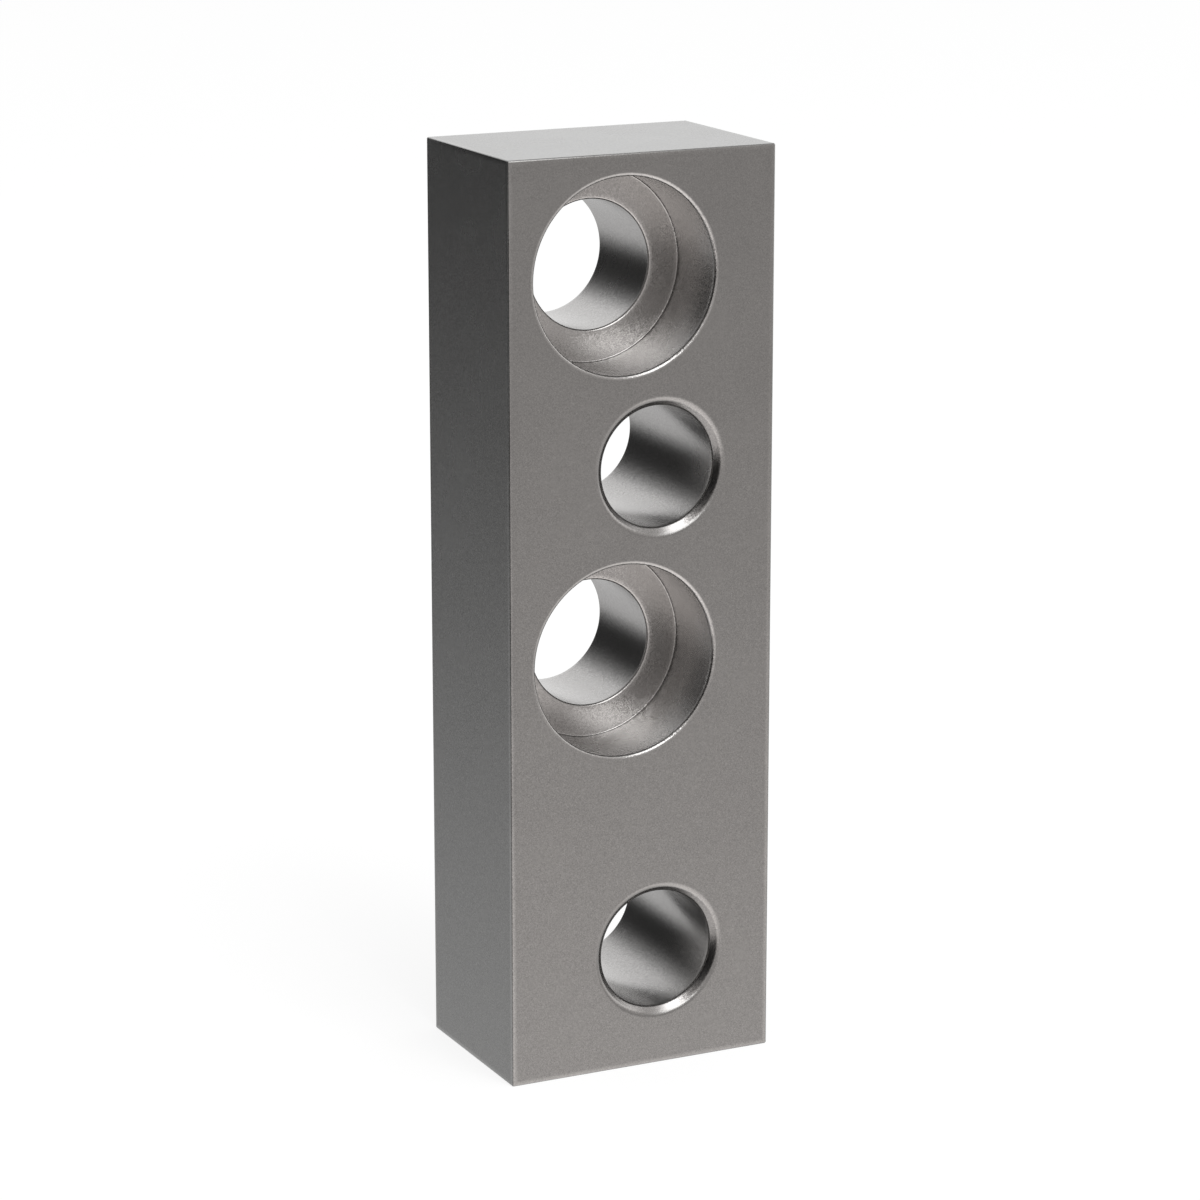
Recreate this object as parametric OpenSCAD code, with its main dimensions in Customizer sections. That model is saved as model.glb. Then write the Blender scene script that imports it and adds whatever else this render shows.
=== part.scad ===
// Drilled spacer block: two counterbored screw holes and two plain pin holes,
// in two rows either side of the centreline, all square to the front face.
// Front is -Y, the block stands on its lower end, and the origin is the middle of that end.

/* [Block] */
// Width across the drilled face, left to right
block_w = 30; // [26:0.5:60]
// Thickness from the drilled face to the back, the way the holes run
block_t = 20; // [12:0.5:40]
// Length from end to end, which stands upright
block_h = 97; // [88:0.5:180]

/* [Hole places] */
// From each end to the middle of its nearest hole
end_margin = 12.5; // [11.5:0.5:16]
// From one hole to the next along the block, for the upper three
hole_pitch = 20; // [18.5:0.5:22]
// From the centreline to each row: screw holes left, pin holes right
row_offset = 2; // [0:0.25:3.5]

/* [Counterbored screw holes] */
// Clearance bore for the shank of the screw
screw_bore_d = 13.5; // [9:0.5:16]
// Recess that takes the head of the screw
recess_d = 20.3; // [18:0.1:21]
// Depth of the recess, from the drilled face to its floor
recess_depth = 8.4; // [4:0.2:10]
// Corner radius that the cutter leaves round the recess floor
recess_corner_r = 0.15; // [0.1:0.05:0.8]

/* [Plain pin holes] */
// Bore that the pin or bolt passes through
pin_bore_d = 12.7; // [8:0.1:14]
// How far the lead-in cone opens beyond the bore, all round
lead_in_w = 0.75; // [0.6:0.05:1]
// Slope of the lead-in cone against the axis of the hole, in degrees
lead_in_angle = 45; // [30:5:60]
// Rounding between the drilled face and the lead-in cone
lead_in_mouth_r = 0.7; // [0.2:0.1:0.8]
// Rounding between the lead-in cone and the bore
lead_in_throat_r = 0.5; // [0.2:0.1:0.6]

/* [Broken edges] */
// Rounding of the twelve outer edges
outer_edge_r = 0.2; // [0.1:0.05:1]
// Rounding of the recess mouths on the drilled face
recess_edge_r = 0.35; // [0.1:0.05:0.4]
// Rounding of the step from the recess floor to the bore
step_edge_r = 0.25; // [0.1:0.05:0.4]
// Lighter rounding where the holes come out at the back
exit_edge_r = 0.15; // [0.05:0.05:0.4]

/* [Hidden] */
$fn = 96;
// How far a cutter starts outside the face that it cuts
over = 1;
lead_in_depth = lead_in_w / tan(lead_in_angle);
top_hole_z = block_h - end_margin;
screw_holes = [[-row_offset, top_hole_z], [-row_offset, top_hole_z - 2 * hole_pitch]];
pin_holes = [[row_offset, top_hole_z - hole_pitch], [row_offset, end_margin]];

// Rectangle about the origin, with its four corners rounded
module rounded_rectangle(width, height, r) {
    square([width - 2 * r, height], center = true);
    square([width, height - 2 * r], center = true);
    for (side = [-1, 1], end = [-1, 1])
        translate([side * (width / 2 - r), end * (height / 2 - r)])
            circle(r);
}

// Bar of the block's size, rounded along all twelve edges
module edge_rounded_bar() {
    translate([0, 0, block_h / 2])
        intersection() {
            linear_extrude(block_h, center = true)
                rounded_rectangle(block_w, block_t, outer_edge_r);
            rotate([90, 0, 0])
                linear_extrude(block_t, center = true)
                    rounded_rectangle(block_w, block_h, outer_edge_r);
            rotate([90, 0, 90])
                linear_extrude(block_w, center = true)
                    rounded_rectangle(block_t, block_h, outer_edge_r);
        }
}

// The holes are cut with half sections, drawn as radius across against depth down from the drilled face.

// How far from a corner of the metal a rounding of radius r starts, along each wall
function rounding_reach(r, angle) = r / tan(angle / 2);

// What is cut off a corner of the metal to leave a rounding of radius r.
// The corner is at the origin, and its metal fills the angle from the +X wall round to the other wall.
module rounded_off(r, angle = 90) {
    reach = rounding_reach(r, angle);
    difference() {
        polygon([[0, 0], [reach, 0], [reach, r], reach * [cos(angle), sin(angle)]]);
        translate([reach, r]) circle(r);
    }
}

// Straight bore from the drilled face to the back, with its exit rounded
module bore_section(bore_r) {
    translate([0, -over])
        square([bore_r, block_t + 2 * over]);
    translate([bore_r, block_t])
        mirror([0, 1])
            rounded_off(exit_edge_r);
    translate([0, block_t])
        square([bore_r + exit_edge_r, over]);
}

// Bore with a flat-floored recess for a screw head
module screw_hole_section() {
    recess_r = recess_d / 2;
    bore_section(screw_bore_d / 2);
    translate([0, -over])
        square([recess_r, over + recess_depth - recess_corner_r]);
    square([recess_r - recess_corner_r, recess_depth]);
    translate([recess_r - recess_corner_r, recess_depth - recess_corner_r])
        circle(recess_corner_r);
    translate([recess_r, 0])
        rounded_off(recess_edge_r);
    translate([0, -over])
        square([recess_r + recess_edge_r, over]);
    translate([screw_bore_d / 2, recess_depth])
        rounded_off(step_edge_r);
}

// Bore with a cone that leads a pin in
module pin_hole_section() {
    pin_r = pin_bore_d / 2;
    mouth_r = pin_r + lead_in_w;
    mouth_angle = 90 + lead_in_angle;
    bore_section(pin_r);
    polygon([[0, 0], [mouth_r, 0], [pin_r, lead_in_depth], [0, lead_in_depth]]);
    translate([mouth_r, 0])
        rounded_off(lead_in_mouth_r, mouth_angle);
    translate([0, -over])
        square([mouth_r + rounding_reach(lead_in_mouth_r, mouth_angle), over]);
    translate([pin_r, lead_in_depth])
        rotate(lead_in_angle - 90)
            rounded_off(lead_in_throat_r, 180 - lead_in_angle);
}

// Turns a section about the axis of a hole that starts on the front face
module hole_at(place) {
    translate([place.x, -block_t / 2, place.y])
        rotate([-90, 0, 0])
            rotate_extrude()
                children();
}

// The one piece: a bar of bright steel, drilled through four times
module spacer_block() {
    color([0.6, 0.59, 0.58])
        difference() {
            edge_rounded_bar();
            for (place = screw_holes)
                hole_at(place) screw_hole_section();
            for (place = pin_holes)
                hole_at(place) pin_hole_section();
        }
}

spacer_block();
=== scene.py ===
# Spacer block: one steel bar, drilled through four times, standing on its lower end.
import math

import bmesh
import bpy
from mathutils import Euler, Matrix, Vector


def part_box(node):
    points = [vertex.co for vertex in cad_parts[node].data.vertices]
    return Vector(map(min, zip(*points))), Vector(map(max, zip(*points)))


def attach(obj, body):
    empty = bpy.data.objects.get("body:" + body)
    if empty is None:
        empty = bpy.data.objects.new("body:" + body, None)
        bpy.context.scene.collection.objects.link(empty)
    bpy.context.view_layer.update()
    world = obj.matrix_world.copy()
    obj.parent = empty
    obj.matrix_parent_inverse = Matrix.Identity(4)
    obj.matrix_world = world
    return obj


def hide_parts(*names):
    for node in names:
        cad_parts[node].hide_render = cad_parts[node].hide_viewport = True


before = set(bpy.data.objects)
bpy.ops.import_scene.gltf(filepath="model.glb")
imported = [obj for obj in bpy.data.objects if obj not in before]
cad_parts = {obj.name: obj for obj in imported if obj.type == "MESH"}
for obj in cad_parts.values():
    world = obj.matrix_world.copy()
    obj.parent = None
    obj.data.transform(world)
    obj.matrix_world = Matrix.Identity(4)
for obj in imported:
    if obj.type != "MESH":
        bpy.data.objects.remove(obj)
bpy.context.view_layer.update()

# The bar
# A length of flat steel bar, ground on all six faces, with its twelve edges broken by a stone.
# It stands on its lower end, and its drilled face looks towards -Y.
mm = 0.001
bar_low, bar_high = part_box("spacer_block")
bar_size = bar_high - bar_low
bar_edge_rounding = 0.2 * mm
bar_edge_segments = 6
# An edge loop this far in from a rounding holds the flat beside it flat
flat_margin = 0.4 * mm

block = bmesh.new()
bmesh.ops.create_cube(
    block,
    size=1,
    matrix=Matrix.Translation((bar_low + bar_high) / 2) @ Matrix.Diagonal((*bar_size, 1)),
)
bmesh.ops.bevel(
    block,
    geom=block.edges[:],
    offset=bar_edge_rounding,
    offset_type="OFFSET",
    segments=bar_edge_segments,
    profile=0.5,
    affect="EDGES",
    material=-1,
)
# This layer tells the finish how far an edge is painted lighter, partly as rubbed wear and partly as a
# painted highlight, from 0 on the flats to 1
edge_rub_and_highlight = block.verts.layers.float.new("edge_rub_and_highlight")
bar_edge_rub_and_highlight = 0.5
for vert in block.verts:
    vert[edge_rub_and_highlight] = bar_edge_rub_and_highlight
# A face over half the size of an end is one of the six flats
smallest_flat = 0.5 * bar_size.x * bar_size.y
flats = [face for face in block.faces if face.calc_area() > smallest_flat]
bmesh.ops.inset_individual(block, faces=flats, thickness=flat_margin, use_even_offset=True)
for face in flats:
    for vert in face.verts:
        vert[edge_rub_and_highlight] = 0

# The four holes
# Each is cut from the drilled face on one axis, so each is a half section spun about that axis.
# The screw holes have a flat-floored recess for the head, and the pin holes a 45 degree lead-in.
screw_bore = 13.5 / 2 * mm
head_recess = 20.3 / 2 * mm
recess_depth = 8.4 * mm
recess_mouth = 0.35 * mm
recess_corner = 0.15 * mm
recess_step = 0.25 * mm
pin_bore = 12.7 / 2 * mm
lead_in = 0.75 * mm
lead_in_mouth = 0.29 * mm
lead_in_throat = 0.207 * mm
exit_rounding = 0.15 * mm
hole_rounding_segments = 5
round_steps = 144
# The screw holes are left of the centreline and the pin holes right of it
row_offset = 2 * mm
screw_hole_heights = (84.5 * mm, 44.5 * mm)
pin_hole_heights = (64.5 * mm, 12.5 * mm)
# A narrow ring of the flat face belongs to each section, and joins it to the face
ring = 0.7 * mm
through = bar_size.y
# The mouths of the recesses get the most rubbed wear and painted highlight, and the edges inside the holes
# little
mouth_rub_and_highlight = 1
inner_rub_and_highlight = 0.3
lead_in_rub_and_highlight = 0.2
# Two more layers for the finish: where the metal is lighter, partly as freshly cut metal and partly as
# painted bounce light, and where the cutter has left it rougher
cut_and_bounce_lit = block.verts.layers.float.new("cut_and_bounce_lit")
rough_cut = block.verts.layers.float.new("rough_cut")
lighter_below_mouth = 0.04 * mm
# What is this close to a plane lies in it
touching = 0.001 * mm
# Each corner is its radius, its depth, how far its rounding reaches along each wall, and its rub and
# painted highlight
screw_hole_section = [
    (head_recess + ring, 0, 0, 0),
    (head_recess, 0, recess_mouth, mouth_rub_and_highlight),
    (head_recess, recess_depth, recess_corner, 0),
    (screw_bore, recess_depth, recess_step, inner_rub_and_highlight),
    (screw_bore, through, exit_rounding, inner_rub_and_highlight),
    (screw_bore + ring, through, 0, 0),
]
pin_hole_section = [
    (pin_bore + lead_in + ring, 0, 0, 0),
    (pin_bore + lead_in, 0, lead_in_mouth, lead_in_rub_and_highlight),
    (pin_bore, lead_in, lead_in_throat, lead_in_rub_and_highlight),
    (pin_bore, through, exit_rounding, inner_rub_and_highlight),
    (pin_bore + ring, through, 0, 0),
]


def turn_hole(centre_x, centre_z, section, lighter_from, rough_to):
    """Cuts a hole. Its metal is as light as it gets from one depth on, partly as freshly cut metal and
    partly as painted bounce light, and rougher down to the other.
    """
    corners = [
        (Vector((centre_x + radius, bar_low.y + depth, centre_z)), reach, rub_and_highlight_level)
        for radius, depth, reach, rub_and_highlight_level in section
    ]
    chain = []
    for (start, start_reach, rub_and_highlight_level), (end, end_reach, _) in zip(corners, corners[1:]):
        along = (end - start).normalized()
        straight = (end - start).length - start_reach - end_reach
        margin = min(flat_margin, straight / 4)
        chain.append((block.verts.new(start), start_reach, rub_and_highlight_level))
        chain.append((block.verts.new(start + along * (start_reach + margin)), 0, 0))
        chain.append((block.verts.new(end - along * (end_reach + margin)), 0, 0))
    chain.append((block.verts.new(corners[-1][0]), 0, 0))
    for (before, _, _), (after, _, _) in zip(chain, chain[1:]):
        block.edges.new((before, after))
    for corner, reach, rub_and_highlight_level in chain:
        if reach:
            rounded = bmesh.ops.bevel(
                block,
                geom=[corner],
                offset=reach,
                offset_type="OFFSET",
                segments=hole_rounding_segments,
                profile=0.5,
                affect="VERTICES",
                material=-1,
            )
            for vert in rounded["verts"]:
                vert[edge_rub_and_highlight] = rub_and_highlight_level
    wire = [edge for edge in block.edges if edge.is_wire]
    wire_verts = list({vert for edge in wire for vert in edge.verts})
    for vert in wire_verts:
        depth = vert.co.y - bar_low.y
        vert[cut_and_bounce_lit] = min(depth / lighter_from, (through - depth) / exit_rounding, 1)
        vert[rough_cut] = touching < depth < rough_to + touching
    bmesh.ops.spin(
        block,
        geom=wire_verts + wire,
        cent=(centre_x, 0, centre_z),
        axis=(0, 1, 0),
        angle=math.tau,
        steps=round_steps,
        use_merge=True,
    )


for centre_z in screw_hole_heights:
    turn_hole(-row_offset, centre_z, screw_hole_section, lighter_below_mouth, recess_depth)
for centre_z in pin_hole_heights:
    turn_hole(row_offset, centre_z, pin_hole_section, lead_in_mouth, 0)

# The drilled face and the back
# The two flats that the holes go through, ground square to the holes.
# Each is taken off the plain bar and filled in again round the rims of the holes.
same_point = 0.0001 * mm


def lies_in(plane_y, verts):
    """Tells whether all these points lie in a plane across the holes."""
    return all(abs(vert.co.y - plane_y) < touching for vert in verts)


for plane_y in (bar_low.y, bar_high.y):
    in_plane = [face for face in block.faces if lies_in(plane_y, face.verts)]
    solid_flat = [face for face in in_plane if face.calc_area() > smallest_flat]
    bmesh.ops.delete(block, geom=solid_flat, context="FACES_ONLY")
    rims = [edge for edge in block.edges if edge.is_boundary and lies_in(plane_y, edge.verts)]
    bmesh.ops.triangle_fill(block, edges=rims, use_beauty=True, use_dissolve=False)
bmesh.ops.remove_doubles(block, verts=block.verts[:], dist=same_point)
bmesh.ops.recalc_face_normals(block, faces=block.faces[:])
for face in block.faces:
    face.smooth = True
mesh = bpy.data.meshes.new("spacer_block_steel")
block.to_mesh(mesh)
block.free()
piece = bpy.data.objects.new("spacer_block_steel", mesh)
bpy.context.scene.collection.objects.link(piece)

# The finish
# Plain steel, fine blasted all over to a satin grain of tiny facets, each tilted and shaded a little.
# The outside has dulled in handling, and the edges are painted a little brighter, partly as rubbed wear
# and partly as a painted highlight.
# In the holes the metal is lighter, partly as cut metal and partly as painted bounce light, and in the
# recesses its facets tilt further.
dulled = (0.306, 0.304, 0.3, 1)
# The lighter steel of the holes is partly cut metal and partly painted bounce light
cut_and_bounce_lit_steel = (0.469, 0.46, 0.453, 1)
# The edge colour is partly rubbed wear and partly a painted highlight along the edges
rubbed_and_highlit_steel = (0.7, 0.697, 0.69, 1)
strongest_rub_and_highlight = 0.6
# The facets are about 0.09 mm across, and the clouds about 7 mm
facets_per_metre = 11000
clouds_per_metre = 150
darkest_facet = 0.88
lightest_facet = 1.12
darkest_cloud = 0.97
lightest_cloud = 1.03
smoothest = 0.25
roughest = 0.29
cloud_height = 0.01 * mm
facet_tilt = 0.06
recess_facet_tilt = 0.17


def add(tree, kind, sockets=None, **settings):
    """Adds a node. A socket's value is a number or colour, or the output that it is linked to."""
    made = tree.nodes.new("ShaderNode" + kind)
    for name, setting in settings.items():
        setattr(made, name, setting)
    for socket, value in (sockets or {}).items():
        if isinstance(value, bpy.types.NodeSocket):
            tree.links.new(value, made.inputs[socket])
        else:
            made.inputs[socket].default_value = value
    return made


def spread(tree, share, low, high):
    """Turns a share from 0 to 1 into a value from low to high."""
    return add(tree, "MapRange", {0: share, "To Min": low, "To Max": high}).outputs[0]


steel = bpy.data.materials.new("satin_steel")
steel.use_nodes = True
tree = steel.node_tree
place = add(tree, "TexCoord").outputs["Object"]
facets = add(tree, "TexVoronoi", {"Vector": place, "Scale": facets_per_metre}).outputs["Color"]
facet_shade = add(tree, "SeparateColor", {0: facets}).outputs["Red"]
clouds = {"Vector": place, "Scale": clouds_per_metre, "Detail": 3, "Roughness": 0.5}
cloud = add(tree, "TexNoise", clouds).outputs["Fac"]
cut_and_bounce_share = add(tree, "Attribute", attribute_name="cut_and_bounce_lit").outputs["Fac"]
rub_and_highlight = add(tree, "Attribute", attribute_name="edge_rub_and_highlight").outputs["Fac"]
milled = add(tree, "Attribute", attribute_name="rough_cut").outputs["Fac"]
patchy_rub_and_highlight = add(tree, "Math", {0: rub_and_highlight, 1: cloud}, operation="MULTIPLY").outputs[0]
rub_and_highlight_share = add(tree, "Math", {0: patchy_rub_and_highlight, 1: strongest_rub_and_highlight}, operation="MULTIPLY").outputs[0]
# Sockets 6 and 7 of a Mix node are its two colours, and output 2 is the mixed one
# Lighter holes: partly cut metal, partly painted bounce light
metal = add(tree, "Mix", {0: cut_and_bounce_share, 6: dulled, 7: cut_and_bounce_lit_steel}, data_type="RGBA").outputs[2]
# Lighter edges: partly rubbed wear, partly a painted highlight
edged = add(tree, "Mix", {0: rub_and_highlight_share, 6: metal, 7: rubbed_and_highlit_steel}, data_type="RGBA").outputs[2]
speckle = spread(tree, facet_shade, darkest_facet, lightest_facet)
mottle = spread(tree, cloud, darkest_cloud, lightest_cloud)
shade = add(tree, "Math", {0: speckle, 1: mottle}, operation="MULTIPLY").outputs[0]
shaded = add(tree, "VectorMath", {0: edged, "Scale": shade}, operation="SCALE").outputs[0]
uneven = spread(tree, cloud, smoothest, roughest)
bumps = add(tree, "Bump", {"Strength": 1, "Distance": cloud_height, "Height": cloud}).outputs[0]
either_way = add(tree, "VectorMath", {0: facets, 1: (0.5, 0.5, 0.5)}, operation="SUBTRACT").outputs[0]
slope = spread(tree, milled, facet_tilt, recess_facet_tilt)
tilt = add(tree, "VectorMath", {0: either_way, "Scale": slope}, operation="SCALE").outputs[0]
tilted = add(tree, "VectorMath", {0: bumps, 1: tilt}, operation="ADD").outputs[0]
facing = add(tree, "VectorMath", {0: tilted}, operation="NORMALIZE").outputs[0]
shader = tree.nodes["Principled BSDF"]
shader.inputs["Metallic"].default_value = 1
tree.links.new(shaded, shader.inputs["Base Color"])
tree.links.new(uneven, shader.inputs["Roughness"])
tree.links.new(facing, shader.inputs["Normal"])
mesh.materials.append(steel)

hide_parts("spacer_block")
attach(piece, "root")

# The floor
# A wide pale table that the block stands on. The camera sees it nearly white,
# with about a third of its own paint left to show the block's shadow.
floor_half_width = 3
floor_glow = 1.24
paint_share = 0.35
floor_shape = bmesh.new()
bmesh.ops.create_grid(floor_shape, x_segments=1, y_segments=1, size=floor_half_width)
floor_mesh = bpy.data.meshes.new("floor")
floor_shape.to_mesh(floor_mesh)
floor_shape.free()
floor = bpy.data.objects.new("floor", floor_mesh)
bpy.context.scene.collection.objects.link(floor)
# The steel mirrors the room below the horizon instead, so it shows no edge of the table
floor.visible_glossy = False
pale_floor = bpy.data.materials.new("pale_floor")
pale_floor.use_nodes = True
tree = pale_floor.node_tree
paint = tree.nodes["Principled BSDF"]
paint.inputs["Base Color"].default_value = (0.85, 0.85, 0.85, 1)
paint.inputs["Roughness"].default_value = 0.9
paint.inputs["Specular IOR Level"].default_value = 0


def seen_by_eye(tree):
    """Is 1 for what the camera sees, straight or in metal or glass, and 0 for the light on the object."""
    ray = add(tree, "LightPath").outputs
    by_mirror = {0: ray["Is Glossy Ray"], 1: ray["Is Transmission Ray"]}
    mirrored = add(tree, "Math", by_mirror, operation="MAXIMUM").outputs[0]
    either = {0: ray["Is Camera Ray"], 1: mirrored}
    return add(tree, "Math", either, operation="MAXIMUM").outputs[0]


glow = add(tree, "Emission", {"Strength": floor_glow}).outputs[0]
nearly_white = add(tree, "MixShader", {0: paint_share, 1: glow, 2: paint.outputs[0]}).outputs[0]
shown = add(tree, "MixShader", {0: seen_by_eye(tree), 1: paint.outputs[0], 2: nearly_white}).outputs[0]
tree.links.new(shown, tree.nodes["Material Output"].inputs["Surface"])
floor_mesh.materials.append(pale_floor)

# The room
# What the steel mirrors: a studio with grey walls and floor, a bright wall at the right behind the block,
# a bright floor in front of it, and black screens at the left, behind the block and beside the camera.
room = bpy.data.worlds.new("room")
bpy.context.scene.world = room
room.use_nodes = True
tree = room.node_tree
direction = add(tree, "TexCoord").outputs["Generated"]
sine_of_height = add(tree, "SeparateXYZ", {0: direction}).outputs["Z"]
height_angle = add(tree, "Math", {0: sine_of_height}, operation="ARCSINE").outputs[0]
height = add(tree, "Math", {0: height_angle}, operation="DEGREES").outputs[0]
# Below the walls the floor is lighter, and the one turns into the other between these heights in degrees
floor_level = 0.71
wall_level = 0.51
floor_ends = -20
wall_starts = -11
# Each patch has its side, middle height, half width, half height and soft rim in degrees, and its level
room_patches = {
    "bright wall": ((54, 16, 66, 22, 26), 1.16),
    "screen behind": ((-37, 6, 31, 20, 20), 0.03),
    "screen beside camera": ((-113, 20, 28, 43, 16), 0),
    "floor in front": ((176, -52, 43, 30, 18), 1.3),
}


def within(distance, half_size, rim):
    """Is 1 up to half the size of a patch of the room and 0 beyond it, with a soft rim, all in degrees."""
    sockets = {
        0: distance,
        "From Min": half_size + rim / 2,
        "From Max": half_size - rim / 2,
    }
    return add(tree, "MapRange", sockets, interpolation_type="SMOOTHSTEP").outputs[0]


def patch_of_room(side, middle_height, half_width, half_height, rim):
    """Is 1 in a patch of the room. Its side is the clockwise turn to it from straight behind the block."""
    turned = add(tree, "VectorRotate", {0: direction, "Angle": math.radians(side)}, rotation_type="Z_AXIS")
    ahead = add(tree, "SeparateXYZ", {0: turned.outputs[0]}).outputs
    across_angle = add(tree, "Math", {0: ahead["X"], 1: ahead["Y"]}, operation="ARCTAN2").outputs[0]
    across = add(tree, "Math", {0: across_angle}, operation="DEGREES").outputs[0]
    off_side = add(tree, "Math", {0: across}, operation="ABSOLUTE").outputs[0]
    above = add(tree, "Math", {0: height, 1: middle_height}, operation="SUBTRACT").outputs[0]
    off_height = add(tree, "Math", {0: above}, operation="ABSOLUTE").outputs[0]
    both = {0: within(off_side, half_width, rim), 1: within(off_height, half_height, rim)}
    return add(tree, "Math", both, operation="MULTIPLY").outputs[0]


floor_to_wall = {
    0: height,
    "From Min": floor_ends,
    "From Max": wall_starts,
    "To Min": floor_level,
    "To Max": wall_level,
}
level = add(tree, "MapRange", floor_to_wall, interpolation_type="SMOOTHSTEP").outputs[0]
for patch, brightness in room_patches.values():
    laid_over = {0: patch_of_room(*patch), 2: level, 3: brightness}
    level = add(tree, "Mix", laid_over, data_type="FLOAT").outputs[0]
# The half of the room in front of the block is a little warmer than the half behind it
neutral = (1, 1, 1, 1)
warm = (1.05, 1, 0.975, 1)
warm_starts = 0.3
warm_full = -0.6
backwards = add(tree, "SeparateXYZ", {0: direction}).outputs["Y"]
back_to_front = {0: backwards, "From Min": warm_starts, "From Max": warm_full}
in_front = add(tree, "MapRange", back_to_front, interpolation_type="SMOOTHSTEP").outputs[0]
tint = add(tree, "Mix", {0: in_front, 6: neutral, 7: warm}, data_type="RGBA").outputs[2]
mirrored_room = add(tree, "Background", {"Color": tint, "Strength": level}).outputs[0]
# Only mirror rays see that room. The camera sees a white backdrop.
# The rest of the world's light is soft and even.
soft_level = 0.5
soft_light = add(tree, "Background", {"Color": neutral, "Strength": soft_level}).outputs[0]
backdrop = add(tree, "Background", {"Color": neutral, "Strength": 1}).outputs[0]
room_or_light = add(tree, "MixShader", {0: seen_by_eye(tree), 1: soft_light, 2: mirrored_room}).outputs[0]
straight_on = add(tree, "LightPath").outputs["Is Camera Ray"]
whole_room = add(tree, "MixShader", {0: straight_on, 1: room_or_light, 2: backdrop}).outputs[0]
tree.links.new(whole_room, tree.nodes["World Output"].inputs["Surface"])

# The lamp
# One tall softbox, which stands in front of the block and looks down on it.
# It is out of the camera's sight.
softbox = bpy.data.lights.new("softbox", "AREA")
softbox.shape = "RECTANGLE"
softbox.size = 0.94
softbox.size_y = 2.24
softbox.energy = 16.9
lamp_side = math.radians(172)
lamp_height = math.radians(51)
lamp_distance = 2
to_lamp = Euler((lamp_height, 0, -lamp_side)).to_matrix() @ Vector((0, lamp_distance, 0))
lamp = bpy.data.objects.new("softbox", softbox)
lamp.location = to_lamp
lamp.rotation_euler = to_lamp.to_track_quat("Z", "Y").to_euler()
lamp.visible_camera = False
bpy.context.scene.collection.objects.link(lamp)

# The camera
# A long lens from the front left and a little above, as in the photograph.
# Its place and lens come from a fit to the straight edges and the holes of the block.
camera_tilt = math.radians(75.838)
camera_turn = math.radians(-25.949)
camera_data = bpy.data.cameras.new("camera")
camera_data.sensor_width = 36
camera_data.lens = 121.1
camera = bpy.data.objects.new("camera", camera_data)
camera.location = (-0.180047, -0.369967, 0.152331)
camera.rotation_euler = Euler((camera_tilt, 0, camera_turn))
bpy.context.scene.collection.objects.link(camera)
bpy.context.scene.camera = camera
bpy.context.scene.view_settings.view_transform = "Standard"
